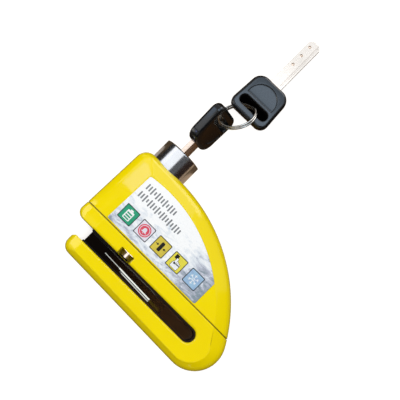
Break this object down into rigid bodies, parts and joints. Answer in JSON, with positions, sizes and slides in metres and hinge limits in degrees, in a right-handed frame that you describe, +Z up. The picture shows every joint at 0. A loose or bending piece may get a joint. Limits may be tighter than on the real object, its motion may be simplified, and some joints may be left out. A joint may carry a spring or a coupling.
{
  "type": "disc brake lock",
  "caption": "Motorcycle brake disc lock with a slotted cast body, push-in barrel, locking pin, siren, turning key, split ring and spare key.",
  "frame": {"origin": "where the axis of the locking pin crosses the middle of the disc slot, half way through the body's thickness", "axes": "+X along the slot to its closed end, +Y along the pin and the barrel to the key, +Z up out of the labelled front face"},
  "size_m": [0.1146, 0.1861, 0.0352],
  "materials": {
    "yellow_paint": "glossy yellow paint over a die-cast zinc alloy body",
    "black_rubber": "moulded black rubber",
    "black_steel": "black oxide on steel",
    "label_print": "printed silver-white film",
    "liner_plastic": "black moulded plastic",
    "bright_steel": "ground steel",
    "hard_steel": "hardened steel, turned",
    "chrome_barrel": "bright chrome plating",
    "plated_brass": "nickel plated brass",
    "wafer_brass": "stamped brass",
    "key_nickel": "polished nickel plating on brass",
    "ring_nickel": "bright nickel plating on spring steel",
    "spring_steel": "drawn spring wire",
    "bow_plastic": "satin black plastic",
    "case_plastic": "black moulded plastic",
    "board_green": "green solder mask",
    "chip_plastic": "moulded component bodies",
    "sensor_can": "drawn can",
    "cell_steel": "nickel plated steel cans",
    "plunger_red": "red plastic"
  },
  "bodies": {
    "lock": {"lock_body": "yellow_paint", "top_cover": "yellow_paint", "cover_gasket": "black_rubber", "cover_screws": "black_steel", "front_label": "label_print", "slot_liner": "liner_plastic", "wear_strip": "bright_steel", "pin_bush": "hard_steel", "jaw_bush": "hard_steel", "barrel_seal": "black_rubber", "latch_keeper": "hard_steel", "return_spring": "spring_steel", "alarm_case": "case_plastic", "alarm_lid": "case_plastic", "circuit_board": "board_green", "board_parts": "chip_plastic", "shock_sensor": "sensor_can", "siren_housing": "case_plastic", "siren_disc": "wafer_brass", "button_cells": "cell_steel", "cell_contacts": "cell_steel", "trip_switch": "chip_plastic"},
    "barrel": {"lock_barrel": "chrome_barrel", "pin_carrier": "hard_steel", "carrier_screws": "black_steel", "lock_pin": "bright_steel"},
    "plug": {"key_plug": "plated_brass", "plug_wafers": "wafer_brass", "plug_cam": "hard_steel"},
    "latch": {"latch_bolt": "hard_steel"},
    "plunger": {"switch_plunger": "plunger_red"},
    "key": {"key_blade": "key_nickel", "key_bow": "bow_plastic"},
    "ring": {"key_ring": "ring_nickel"},
    "spare_key": {"spare_key_blade": "key_nickel", "spare_key_bow": "bow_plastic"}
  },
  "joints": [
    {"name": "barrel_slide", "type": "slide", "parent": "lock", "child": "barrel", "axis": [0, -1, 0], "range_m": [0, 0.0116], "stiffness_N_per_m": 600, "springref_m": -0.006, "deforming": ["return_spring"]},
    {"name": "plug_turn", "type": "hinge", "parent": "barrel", "child": "plug", "pos_m": [-0.0172, 0.055, 0], "axis": [0, -1, 0], "range_deg": [0, 90]},
    {"name": "latch_slide", "type": "slide", "parent": "barrel", "child": "latch", "axis": [-1, 0, 0], "range_m": [0, 0.002]},
    {"name": "plunger_press", "type": "slide", "parent": "lock", "child": "plunger", "axis": [1, 0, 0], "range_m": [0, 0.0012]},
    {"name": "key_pull", "type": "slide", "parent": "plug", "child": "key", "axis": [0, 1, 0], "range_m": [0, 0.03]},
    {"name": "ring_swing", "type": "hinge", "parent": "key", "child": "ring", "pos_m": [-0.0172, 0.1026, 0], "axis": [-0.4226, 0, 0.9063], "range_deg": [-24, 0]},
    {"name": "spare_swing", "type": "hinge", "parent": "ring", "child": "spare_key", "pos_m": [-0.00786, 0.1116, -0.00798], "axis": [0.9975, 0.0164, 0.0691], "range_deg": [0, 12]}
  ],
  "couplings": [
    {"joint": "latch_slide", "follows": "plug_turn", "m_per_rad": 0.0012732},
    {"joint": "plunger_press", "follows": "barrel_slide", "ratio": 0.10345}
  ]
}
